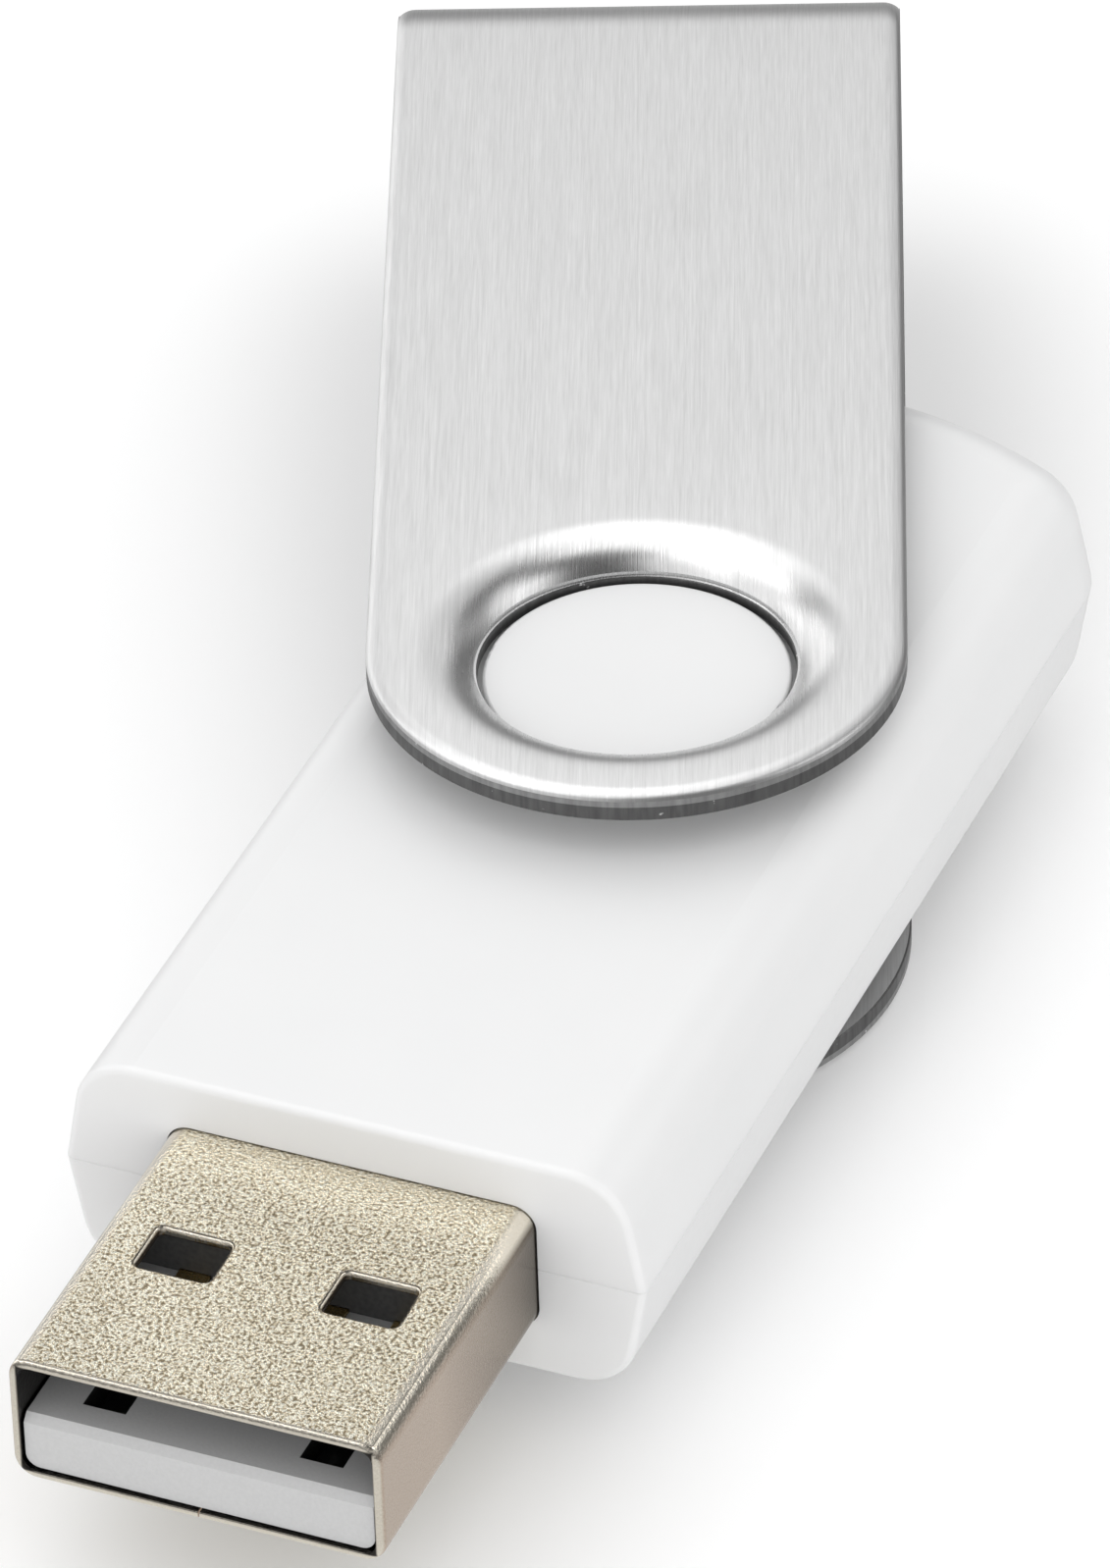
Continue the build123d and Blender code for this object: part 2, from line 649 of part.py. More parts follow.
with BuildPart() as flash_chip:
    add(chip_body(flash_centre, FLASH_LENGTH, FLASH_WIDTH, FLASH_HEIGHT))
flash_chip.part.label = "flash_chip"
export_step(flash_chip.part, "parts/flash_chip.step")

with BuildPart() as flash_leads:
    add(gull_leads(flash_centre, FLASH_LENGTH, FLASH_SPAN, FLASH_HEIGHT, (0, 180), FLASH_END_LEADS))
flash_leads.part.label = "flash_leads"
export_step(flash_leads.part, "parts/flash_leads.step")

with BuildPart() as crystal:
    with BuildSketch(Plane.XY.offset(BOARD_TOP)):
        with Locations((CRYSTAL_X, CRYSTAL_Y)):
            Rectangle(CRYSTAL_SIZE[0], CRYSTAL_SIZE[1])
    extrude(amount=CRYSTAL_SIZE[2])
    fillet(crystal.edges().filter_by(Axis.Z), WINDOW_CORNER)
    chamfer(crystal.faces().sort_by(Axis.Z)[-1].edges(), CHIP_CHAMFER)
crystal.part.label = "crystal"
export_step(crystal.part, "parts/crystal.step")


def chip_parts(centre, pitch, count, base, height, middle):
    """A row of small two-ended parts: their middles, or their metal ends."""
    body_length = CHIP_PART_LENGTH - 2 * TERMINAL_LENGTH
    with BuildPart() as row:
        with BuildSketch(Plane.XY.offset(base)):
            with Locations(centre):
                with GridLocations(pitch, 0, count, 1):
                    if middle:
                        Rectangle(body_length, CHIP_PART_SIDE)
                    else:
                        with GridLocations(body_length + TERMINAL_LENGTH, 0, 2, 1):
                            Rectangle(TERMINAL_LENGTH, CHIP_PART_SIDE)
        extrude(amount=height)
    return row.part


capacitor_row = (CAPACITOR_CENTRE, CAPACITOR_PITCH, CAPACITOR_COUNT, BOARD_TOP, CHIP_PART_SIDE)
resistor_row = (RESISTOR_CENTRE, RESISTOR_PITCH, RESISTOR_COUNT, board_bottom, -RESISTOR_HEIGHT)

with BuildPart() as capacitor_bodies:
    add(chip_parts(*capacitor_row, middle=True))
capacitor_bodies.part.label = "capacitor_bodies"
export_step(capacitor_bodies.part, "parts/capacitor_bodies.step")

with BuildPart() as capacitor_terminals:
    add(chip_parts(*capacitor_row, middle=False))
capacitor_terminals.part.label = "capacitor_terminals"
export_step(capacitor_terminals.part, "parts/capacitor_terminals.step")

with BuildPart() as resistor_bodies:
    add(chip_parts(*resistor_row, middle=True))
resistor_bodies.part.label = "resistor_bodies"
export_step(resistor_bodies.part, "parts/resistor_bodies.step")

with BuildPart() as resistor_terminals:
    add(chip_parts(*resistor_row, middle=False))
resistor_terminals.part.label = "resistor_terminals"
export_step(resistor_terminals.part, "parts/resistor_terminals.step")

with BuildPart() as contact_solder:
    # a wedge of solder against the end of each contact's tail
    for place in contact_places:
        with BuildSketch(Plane.XZ.offset(-place)):
            with BuildLine():
                Polyline(
                    (CONTACT_TAIL, BOARD_TOP + PAD_THICKNESS),
                    (CONTACT_TAIL, contact_top),
                    (PAD_REAR, BOARD_TOP + PAD_THICKNESS),
                    close=True,
                )
            make_face()
        extrude(amount=CONTACT_WIDTH / 2, both=True)
contact_solder.part.label = "contact_solder"
export_step(contact_solder.part, "parts/contact_solder.step")

with BuildPart() as shell_solder:
    # a fillet of solder around each prong under the board
    with BuildSketch(Plane.XY.offset(board_bottom)):
        with Locations((prong_x, -leg_y), (prong_x, leg_y)):
            Rectangle(PRONG_LENGTH + 2 * SOLDER_HEIGHT, SHEET + 2 * SOLDER_HEIGHT)
    extrude(amount=-SOLDER_HEIGHT, taper=SOLDER_TAPER)
    with BuildSketch(Plane.XY.offset(board_bottom)):
        with Locations((prong_x, -leg_y), (prong_x, leg_y)):
            Rectangle(PRONG_LENGTH, SHEET)
    extrude(amount=-PLUG_HEIGHT, mode=Mode.SUBTRACT)
shell_solder.part.label = "shell_solder"
export_step(shell_solder.part, "parts/shell_solder.step")
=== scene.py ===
import json
from math import atan, cos, pi, radians, sin, sqrt, tan

import bmesh
import bpy
from mathutils import Matrix, Vector

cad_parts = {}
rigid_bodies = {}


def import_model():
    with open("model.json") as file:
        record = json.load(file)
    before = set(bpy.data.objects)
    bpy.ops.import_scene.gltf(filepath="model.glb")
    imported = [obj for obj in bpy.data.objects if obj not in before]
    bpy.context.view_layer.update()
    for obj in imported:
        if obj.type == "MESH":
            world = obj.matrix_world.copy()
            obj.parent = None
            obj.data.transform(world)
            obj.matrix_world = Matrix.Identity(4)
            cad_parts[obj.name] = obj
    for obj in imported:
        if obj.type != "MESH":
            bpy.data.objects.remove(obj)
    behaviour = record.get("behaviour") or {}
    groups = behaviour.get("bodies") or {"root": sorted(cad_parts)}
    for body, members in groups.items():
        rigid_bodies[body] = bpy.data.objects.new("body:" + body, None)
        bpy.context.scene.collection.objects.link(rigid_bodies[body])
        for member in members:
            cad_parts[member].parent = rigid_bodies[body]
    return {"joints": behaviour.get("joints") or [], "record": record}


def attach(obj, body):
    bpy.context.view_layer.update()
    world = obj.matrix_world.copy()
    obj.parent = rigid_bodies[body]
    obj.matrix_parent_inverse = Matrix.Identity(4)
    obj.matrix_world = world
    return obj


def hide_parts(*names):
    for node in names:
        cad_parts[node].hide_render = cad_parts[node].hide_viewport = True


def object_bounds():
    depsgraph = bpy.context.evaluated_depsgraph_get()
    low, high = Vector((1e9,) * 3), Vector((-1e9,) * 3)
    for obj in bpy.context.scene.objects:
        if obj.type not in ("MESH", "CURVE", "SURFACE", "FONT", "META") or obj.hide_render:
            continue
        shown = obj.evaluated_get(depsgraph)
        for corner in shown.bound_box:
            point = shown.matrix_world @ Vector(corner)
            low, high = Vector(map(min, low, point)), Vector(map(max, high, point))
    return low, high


# The looks of a swivel USB flash drive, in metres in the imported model's frame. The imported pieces
# get their materials, and the folded clip is modelled again in fine quads, with rolled edges.
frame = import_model()
cad_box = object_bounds()

MM = 0.001
PIVOT = Vector(frame["joints"][0]["pos_m"])

# The clip, in millimetres, as it was designed
CLIP_TURN = radians(21.6)
CLIP_SHEET = 0.92
CLIP_HALF_WIDTH = 8.45
BEND_CENTRE = 36.35
BEND_RADIUS = 4.7
PLATE_SPLAY = radians(2.0)
RING_OUTER = 7.0
RING_HOLE = 5.0
RING_DROP = 0.95
RING_WALL = 0.5
RING_POLISH = 0.1  # how much smoother the press rubbed the ring
RUB_FULL = RING_HOLE + 0.8  # fully rubbed up to this radius
RUB_END = RING_OUTER + 0.3
LIP_ROUND = 0.1
LIP_SQUASH = 0.5  # the lip's rounding is this high for its width
EDGE_ROLL_WIDTH = 0.55  # the punched edge rolls over this far in from the cut
EDGE_ROLL_DROP = 0.16
EDGE_BREAK = 0.05
BEND_CURL = 0.9  # how much deeper the edge rolls round the bend
BURNISHED_DEPTH = 0.42  # how much of the sheet the punch sheared before it tore; the torn band below is painted darker, partly as painted shade
SHADING_CORNER = radians(32)  # sharper corners than this aren't shaded smooth

# The clip's materials, by their place in its list
BRUSHED, SHEARED_AND_SHADED, TORN_AND_SHADED = range(3)

# The steel's scratches: how many in a millimetre along, across and through the strip, and
# how deep
LONG_SCRATCHES = (0.25, 13.0, 0.25)
SHORT_SCRATCHES = (0.8, 26.0, 0.8)
SCRATCH_DEPTH = 0.006

# How many of the punch's marks lie in a millimetre of the cut edge, by X, Y and Z
PUNCH_SCORES = (6.0, 6.0, 0.8)

# The inside of the plug's metal shell
PLUG_INNER_HALF_WIDTH = 5.7
PLUG_INNER_HALF_HEIGHT = 1.95

# The pits in the top of the tongue, whose insides are painted black as painted shade
PIT_DEPTH = 1.1
PIT_REACH = 11.0  # they end this far from the housing
PIT_SPREAD = 5.0  # and lie this far to the sides at most
PIT_EDGE = 0.06

# The plug's plating
SIDE_SHADE_REACH = 7.5  # how far from the housing the sides of the plug are painted darker, as painted shade
PEBBLES = 8.5  # how many in a millimetre
PEBBLE_DEPTH = 0.19
PLATING_GRAINS = 18.0
PLATING_DEPTH = 0.004
INNER_SHADE_EDGE = 0.06  # the near-black painted shade of the shell's inner face ends this far out from it

# The faint relief of moulded surfaces, and how far their roughness strays
HOUSING_RELIEF = 0.0012
MOULDED_RELIEF = 0.006
MOULDED_STRAY = 0.06

# How much rougher and smoother than its average a plated surface is in places
DULL_SPOTS = 0.08
BRIGHT_SPOTS = 0.04

# Nearly all values of a noise texture lie between these two
NOISE_LOW = 0.3
NOISE_HIGH = 0.7

# The sockets of a colour Mix node, which share their names with those of its other kinds
MIX_FACTOR = 0
MIX_FIRST = 6
MIX_SECOND = 7
MIX_RESULT = 2

# Brightness of the dome, and of the room that reflections see from straight down to straight up
DOME = 1.15
ROOM = ((0.0, 0.7), (0.35, 0.55), (0.5, 0.1), (0.6, 0.16), (0.7, 0.6), (0.8, 0.1), (1.0, 0.05))

# Panels that only show in reflections, and the light that fills the front's shadows: azimuth
# and elevation in degrees, distance and width in metres, radiance
CARDS = (
    ("key", 230, 70, 0.5, 0.45, 1.9),
    ("back", 194, 39, 0.6, 0.48, 0.78),
    ("side", 240, 11, 0.6, 0.44, 1.3),
    ("left_streak", 124, 40, 0.6, 0.26, 1.4),
    ("far_streak", 104, 48, 0.6, 0.2, 1.2),
    ("front_near", -26, 56, 0.6, 0.42, 1.2),
    ("front_side", -80, 44, 0.6, 0.46, 1.2),
)
FRONT_FILL = ("front_fill", 12, 10, 0.6, 0.6, 0.85)

# The floor, in metres
FLOOR_HALF_WIDTH = 1.5
FLOOR_CELLS = 8

# How finely the clip is meshed
RING_STEPS = 128
FUNNEL_STEPS = 14
LIP_STEPS = 2
ROLL_STEPS = 6
PLATE_ROWS = 12
BEND_ROWS = 24
WELD = 0.002 * MM

# The camera: its direction and distance in metres from the swivel's axis, and its lens in
# millimetres
CAMERA_AZIMUTH = radians(23.727)
CAMERA_ELEVATION = radians(36.970)
CAMERA_ROLL = radians(-2.075)
CAMERA_DISTANCE = 0.3929
CAMERA_LENS = 286.8
CAMERA_NEAR = 0.01
CAMERA_FAR = 10
CAMERA_AIM = (-2.700 * MM, 0.309 * MM)  # right and up of the swivel's axis


# ---------------------------------------------------------------- mesh helpers


def add_rows(mesh, rows, closed, slots):
    """Quads between each row of points and the next. slots names the material of each column."""
    loops = [[mesh.verts.new(point) for point in row] for row in rows]
    for near, far in zip(loops, loops[1:]):
        count = len(near)
        for k in range(count if closed else count - 1):
            after = (k + 1) % count
            face = mesh.faces.new((near[k], near[after], far[after], far[k]))
            face.material_index = slots[k]
            face.smooth = True


def finish_piece(name, mesh, materials, body, node):
    """Weld a bmesh, turn it into an object and let it stand for a CAD node."""
    bmesh.ops.remove_doubles(mesh, verts=mesh.verts, dist=WELD)
    bmesh.ops.recalc_face_normals(mesh, faces=mesh.faces)
    data = bpy.data.meshes.new(name)
    mesh.to_mesh(data)
    mesh.free()
    data.set_sharp_from_angle(angle=SHADING_CORNER)
    piece = bpy.data.objects.new(name, data)
    for material in materials:
        data.materials.append(material)
    bpy.context.scene.collection.objects.link(piece)
    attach(piece, body)
    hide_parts(node)
    return piece


# ---------------------------------------------------------------- clip

clip_along = Vector((-cos(CLIP_TURN), -sin(CLIP_TURN), 0))
clip_across = Vector((0, 0, 1)).cross(clip_along)
# the plate meets the bend here, and it leans, so it is higher over the swivel's axis
bend_start = BEND_CENTRE + BEND_RADIUS * sin(PLATE_SPLAY)
plate_height = BEND_RADIUS * cos(PLATE_SPLAY) + bend_start * tan(PLATE_SPLAY)
plate_end = bend_start / cos(PLATE_SPLAY)
flat_half_width = CLIP_HALF_WIDTH - EDGE_ROLL_WIDTH


def clip_point(along, across, height):
    """A point in metres by its place along and across the clip and its height, in millimetres."""
    return PIVOT + (clip_along * along + clip_across * across + Vector((0, 0, height))) * MM


def on_plate(along, across, lift):
    """A point by its place on the upper plate and its lift off the plate's outer face."""
    return clip_point(
        along * cos(PLATE_SPLAY) + lift * sin(PLATE_SPLAY),
        across,
        plate_height - along * sin(PLATE_SPLAY) + lift * cos(PLATE_SPLAY),
    )


def on_bend(angle, across, lift):
    """A point by its angle round the bend and its lift off the bend's outer face."""
    radius = BEND_RADIUS + lift
    return clip_point(BEND_CENTRE + radius * cos(angle), across, radius * sin(angle))


def edge_profile():
    """(distance in from the cut edge, lift) from the outer face over the edge to the inner face."""
    roll_angle = 2 * atan(EDGE_ROLL_DROP / EDGE_ROLL_WIDTH)
    roll_radius = EDGE_ROLL_WIDTH / sin(roll_angle)
    profile = []
    for step in range(ROLL_STEPS + 1):
        angle = roll_angle * step / ROLL_STEPS
        profile.append((EDGE_ROLL_WIDTH - roll_radius * sin(angle), -roll_radius * (1 - cos(angle))))
    # the roll stops short of the cut, and a small flat breaks the corner
    last = profile.pop()
    profile.append((last[0] + EDGE_BREAK, last[1] + EDGE_BREAK * sin(roll_angle) / 2))
    profile.append((0, -EDGE_ROLL_DROP - EDGE_BREAK))
    profile.append((0, -BURNISHED_DEPTH))
    profile.append((0, EDGE_BREAK - CLIP_SHEET))
    profile.append((EDGE_BREAK, -CLIP_SHEET))
    profile.append((EDGE_ROLL_WIDTH, -CLIP_SHEET))
    return profile


edge = edge_profile()
# the material of each strip of the edge: the last four go down the cut and back under the plate
cut_slots = [SHEARED_AND_SHADED, TORN_AND_SHADED, TORN_AND_SHADED, BRUSHED]
edge_slots = [BRUSHED] * (len(edge) - 1 - len(cut_slots)) + cut_slots


def ring_profile():
    """(radius, lift) from the outer face down the funnel, under the lip and back beneath."""
    width = RING_OUTER - RING_HOLE
    turn = 2 * atan(RING_DROP / width)
    radius = width / sin(turn)
    under = radius - CLIP_SHEET
    foot = -RING_DROP - RING_WALL
    profile = []
    for step in range(FUNNEL_STEPS):
        angle = turn * step / FUNNEL_STEPS
        profile.append((RING_OUTER - radius * sin(angle), -radius * (1 - cos(angle))))
    for step in range(LIP_STEPS + 1):
        angle = pi / 2 * step / LIP_STEPS
        inset = LIP_ROUND * (1 - sin(angle))
        drop = LIP_ROUND * LIP_SQUASH * (1 - cos(angle))
        profile.append((RING_HOLE + inset, -RING_DROP - drop))
    profile.append((RING_HOLE, foot + LIP_ROUND))
    profile.append((RING_HOLE + LIP_ROUND, foot))
    foot_cos = (foot + radius) / under
    foot_angle = atan(sqrt(1 - foot_cos**2) / foot_cos)
    for step in range(FUNNEL_STEPS + 1):
        angle = foot_angle * (1 - step / FUNNEL_STEPS)
        profile.append((RING_OUTER - under * sin(angle), -radius + under * cos(angle)))
    return profile


def flat_rim(angle):
    """Where the plate's flat part ends in a direction from the ring, and which way is out."""
    across = sin(angle)
    along = cos(angle)
    if along <= 0:
        return (flat_half_width * along, flat_half_width * across), (along, across)
    reach = flat_half_width / max(along, abs(across))
    out = (0, 1 if across > 0 else -1)
    return (reach * along, reach * across), out


def build_clip(materials):
    """The upper half of the clip as quads, mirrored for the lower half."""
    mesh = bmesh.new()
    angles = [2 * pi * k / RING_STEPS for k in range(RING_STEPS)]
    rims = [flat_rim(angle) for angle in angles]

    # the pressed ring, and the plate's flat part around it
    ring = ring_profile()
    funnel_slots = [BRUSHED] * (FUNNEL_STEPS + LIP_STEPS)
    hole_slots = [TORN_AND_SHADED] * 3  # the hole's wall and the strip on either side of it, painted dark partly as painted shade
    under_slots = [BRUSHED] * (len(ring) + 1 - len(funnel_slots) - len(hole_slots))
    ring_slots = funnel_slots + hole_slots + under_slots
    rows = []
    for angle, (rim, _) in zip(angles + angles[:1], rims + rims[:1]):
        row = [on_plate(*rim, 0)]
        row += [on_plate(radius * cos(angle), radius * sin(angle), lift) for radius, lift in ring]
        row.append(on_plate(*rim, -CLIP_SHEET))
        rows.append(row)
    add_rows(mesh, rows, closed=False, slots=ring_slots)

    # the cut edge round the free end, from one of the plate's square corners to the other
    eighth = RING_STEPS // 8
    rows = []
    for (along, across), out in rims[eighth:-eighth + 1]:
        row = []
        for inset, lift in edge:
            reach = EDGE_ROLL_WIDTH - inset
            row.append(on_plate(along + out[0] * reach, across + out[1] * reach, lift))
        rows.append(row)
    add_rows(mesh, rows, closed=False, slots=edge_slots)

    # the strip from the ring to the middle of the bend, as a closed band of columns
    across_row = [across for (_, across), _ in rims[-eighth:] + rims[:eighth + 1]]
    band = [(across, 0) for across in across_row]
    band += [(CLIP_HALF_WIDTH - inset, lift) for inset, lift in edge[1:-1]]
    band += [(across, -CLIP_SHEET) for across in reversed(across_row)]
    band += [(inset - CLIP_HALF_WIDTH, lift) for inset, lift in reversed(edge[1:-1])]
    plate_slots = [BRUSHED] * (len(across_row) - 1)
    band_slots = plate_slots + edge_slots + plate_slots + edge_slots[::-1]
    rows = []
    for step in range(PLATE_ROWS):
        along = flat_half_width + (plate_end - flat_half_width) * step / PLATE_ROWS
        rows.append([on_plate(along, across, lift) for across, lift in band])
    for step in range(BEND_ROWS + 1):
        angle = (pi / 2 - PLATE_SPLAY) * (1 - step / BEND_ROWS)
        curl = 1 + BEND_CURL * sin(pi / 2 * step / BEND_ROWS)
        row = []
        for across, lift in band:
            in_roll = lift >= -EDGE_ROLL_DROP
            row.append(on_bend(angle, across, lift * curl if in_roll else lift))
        rows.append(row)
    add_rows(mesh, rows, closed=True, slots=band_slots)

    piece = finish_piece("folded_clip", mesh, materials, "clip", "swivel_clip")
    mirror = piece.modifiers.new("lower_half", "MIRROR")
    mirror.use_axis = (False, False, True)
    mirror.merge_threshold = WELD
    return piece


# ---------------------------------------------------------------- material helpers


def set_stops(ramp, stops):
    """Give a colour ramp its (place, colour) stops."""
    for place, _ in stops[2:]:
        ramp.elements.new(place)
    for element, (place, colour) in zip(ramp.elements, stops):
        element.position = place
        element.color = (*colour, 1)


class Nodes:
    """A short way to wire one material's nodes. Object coordinates arrive in millimetres."""

    def __init__(self, name):
        self.material = bpy.data.materials.new(name)
        self.material.use_nodes = True
        self.tree = self.material.node_tree
        self.shader = self.tree.nodes["Principled BSDF"]
        coordinates = self.tree.nodes.new("ShaderNodeTexCoord")
        self.place = self.vector("SCALE", coordinates.outputs["Object"], scale=1 / MM)
        self.normal = coordinates.outputs["Normal"]

    def add(self, kind, **settings):
        node = self.tree.nodes.new(kind)
        for key, value in settings.items():
            setattr(node, key, value)
        return node

    def link(self, source, socket):
        self.tree.links.new(source, socket)

    def vector(self, operation, source, by=None, scale=None):
        node = self.add("ShaderNodeVectorMath", operation=operation)
        self.link(source, node.inputs[0])
        if by is not None:
            node.inputs[1].default_value = by
        if scale is not None:
            node.inputs["Scale"].default_value = scale
        return node.outputs[0]

    def turned(self, source, angle):
        node = self.add("ShaderNodeVectorRotate", rotation_type="Z_AXIS")
        node.inputs["Angle"].default_value = angle
        self.link(source, node.inputs["Vector"])
        return node.outputs[0]

    def noise(self, source, scale, detail, roughness=0.5):
        node = self.add("ShaderNodeTexNoise")
        node.inputs["Scale"].default_value = scale
        node.inputs["Detail"].default_value = detail
        node.inputs["Roughness"].default_value = roughness
        self.link(source, node.inputs["Vector"])
        return node.outputs["Fac"]

    def map(self, source, low, high, to_low, to_high):
        node = self.add("ShaderNodeMapRange")
        limits = {"From Min": low, "From Max": high, "To Min": to_low, "To Max": to_high}
        for name, value in limits.items():
            node.inputs[name].default_value = value
        self.link(source, node.inputs["Value"])
        return node.outputs["Result"]

    def varied(self, noise, low, high):
        """A number that follows a noise from low to high."""
        return self.map(noise, NOISE_LOW, NOISE_HIGH, low, high)

    def math(self, operation, first, second):
        node = self.add("ShaderNodeMath", operation=operation)
        for socket, value in zip(node.inputs, (first, second)):
            if isinstance(value, (int, float)):
                socket.default_value = value
            else:
                self.link(value, socket)
        return node.outputs[0]

    def part_of(self, source, axis):
        node = self.add("ShaderNodeSeparateXYZ")
        self.link(source, node.inputs[0])
        return node.outputs[axis]

    def size_of(self, source, axis):
        """One part of a vector, without its sign."""
        return self.math("ABSOLUTE", self.part_of(source, axis), 0)

    def level_length(self, source):
        """A vector's length seen from above."""
        node = self.add("ShaderNodeVectorMath", operation="LENGTH")
        self.link(self.vector("MULTIPLY", source, by=(1, 1, 0)), node.inputs[0])
        return node.outputs["Value"]

    def ramp(self, source, stops):
        node = self.add("ShaderNodeValToRGB")
        set_stops(node.color_ramp, stops)
        self.link(source, node.inputs["Fac"])
        return node.outputs["Color"]

    def shades(self, noise, dark, light):
        """A colour that follows a noise from dark to light."""
        return self.ramp(noise, ((NOISE_LOW, dark), (NOISE_HIGH, light)))

    def mix(self, factor, first, second):
        node = self.add("ShaderNodeMix", data_type="RGBA")
        self.link(factor, node.inputs[MIX_FACTOR])
        self.link(first, node.inputs[MIX_FIRST])
        self.link(second, node.inputs[MIX_SECOND])
        return node.outputs[MIX_RESULT]

    def bump(self, height, depth, after=None):
        """Relief in millimetres, on top of another bump when one is given."""
        node = self.add("ShaderNodeBump")
        node.inputs["Distance"].default_value = depth * MM
        self.link(height, node.inputs["Height"])
        if after is not None:
            self.link(after, node.inputs["Normal"])
        return node.outputs["Normal"]

    def set(self, **sockets):
        for name, value in sockets.items():
            socket = self.shader.inputs[name.replace("_", " ")]
            if isinstance(value, (int, float, tuple)):
                socket.default_value = value
            else:
                self.link(value, socket)


def grey(value):
    return (value, value, value)


# ---------------------------------------------------------------- materials


def brushed_steel():
    """Satin steel with fine scratches along the strip and round the bend."""
    nodes = Nodes("brushed_steel")
    strip = nodes.turned(nodes.place, -CLIP_TURN)
    long_lines = nodes.noise(nodes.vector("MULTIPLY", strip, by=LONG_SCRATCHES), 1.0, detail=2)
    short_lines = nodes.noise(nodes.vector("MULTIPLY", strip, by=SHORT_SCRATCHES), 1.0, detail=3)
    lines = nodes.math("MULTIPLY", nodes.math("ADD", long_lines, short_lines), 0.5)
    cloud = nodes.noise(nodes.place, 0.12, detail=2)
    roughness = nodes.math("ADD", nodes.varied(lines, 0.42, 0.34), nodes.varied(cloud, -0.02, 0.02))
    from_axis = nodes.level_length(nodes.vector("SUBTRACT", nodes.place, by=PIVOT / MM))
    rubbed = nodes.map(from_axis, RUB_FULL, RUB_END, RING_POLISH, 0.0)
    nodes.set(
        Base_Color=nodes.shades(lines, grey(0.51), grey(0.63)),
        Metallic=1.0,
        Roughness=nodes.math("SUBTRACT", roughness, rubbed),
        Normal=nodes.bump(lines, SCRATCH_DEPTH),
    )
    return nodes.material


def cut_steel(name, dark, light, score_depth):
    """A punched edge: dull, with the punch's upright scores and a few bright nicks, its dark colours
    partly painted shade.
    """
    nodes = Nodes(name)
    scores = nodes.noise(nodes.vector("MULTIPLY", nodes.place, by=PUNCH_SCORES), 1.0, detail=4)
    nicks = nodes.noise(nodes.place, 2.6, detail=2)
    nicked = nodes.map(nicks, 0.72, 0.76, 0.0, 1.0)
    bright = nodes.ramp(nicks, ((0.5, grey(0.8)), (1.0, grey(0.9))))
    nodes.set(
        Base_Color=nodes.mix(nicked, nodes.shades(scores, grey(dark), grey(light)), bright),
        Metallic=1.0,
        Roughness=nodes.varied(scores, 0.5, 0.38),
        Normal=nodes.bump(scores, score_depth),
    )
    return nodes.material


def white_plastic():
    """Glossy white moulded plastic with a faint moulding texture."""
    nodes = Nodes("white_plastic")
    fine = nodes.noise(nodes.place, 3.5, detail=4)
    broad = nodes.noise(nodes.place, 0.15, detail=2)
    nodes.set(
        Base_Color=nodes.shades(broad, (0.715, 0.717, 0.719), (0.731, 0.732, 0.733)),
        Roughness=nodes.varied(fine, 0.3, 0.38),
        Normal=nodes.bump(fine, HOUSING_RELIEF),
        Subsurface_Weight=0.15,
        Subsurface_Radius=(1.0, 1.0, 1.0),
        Subsurface_Scale=0.6 * MM,
        IOR=1.46,
    )
    return nodes.material


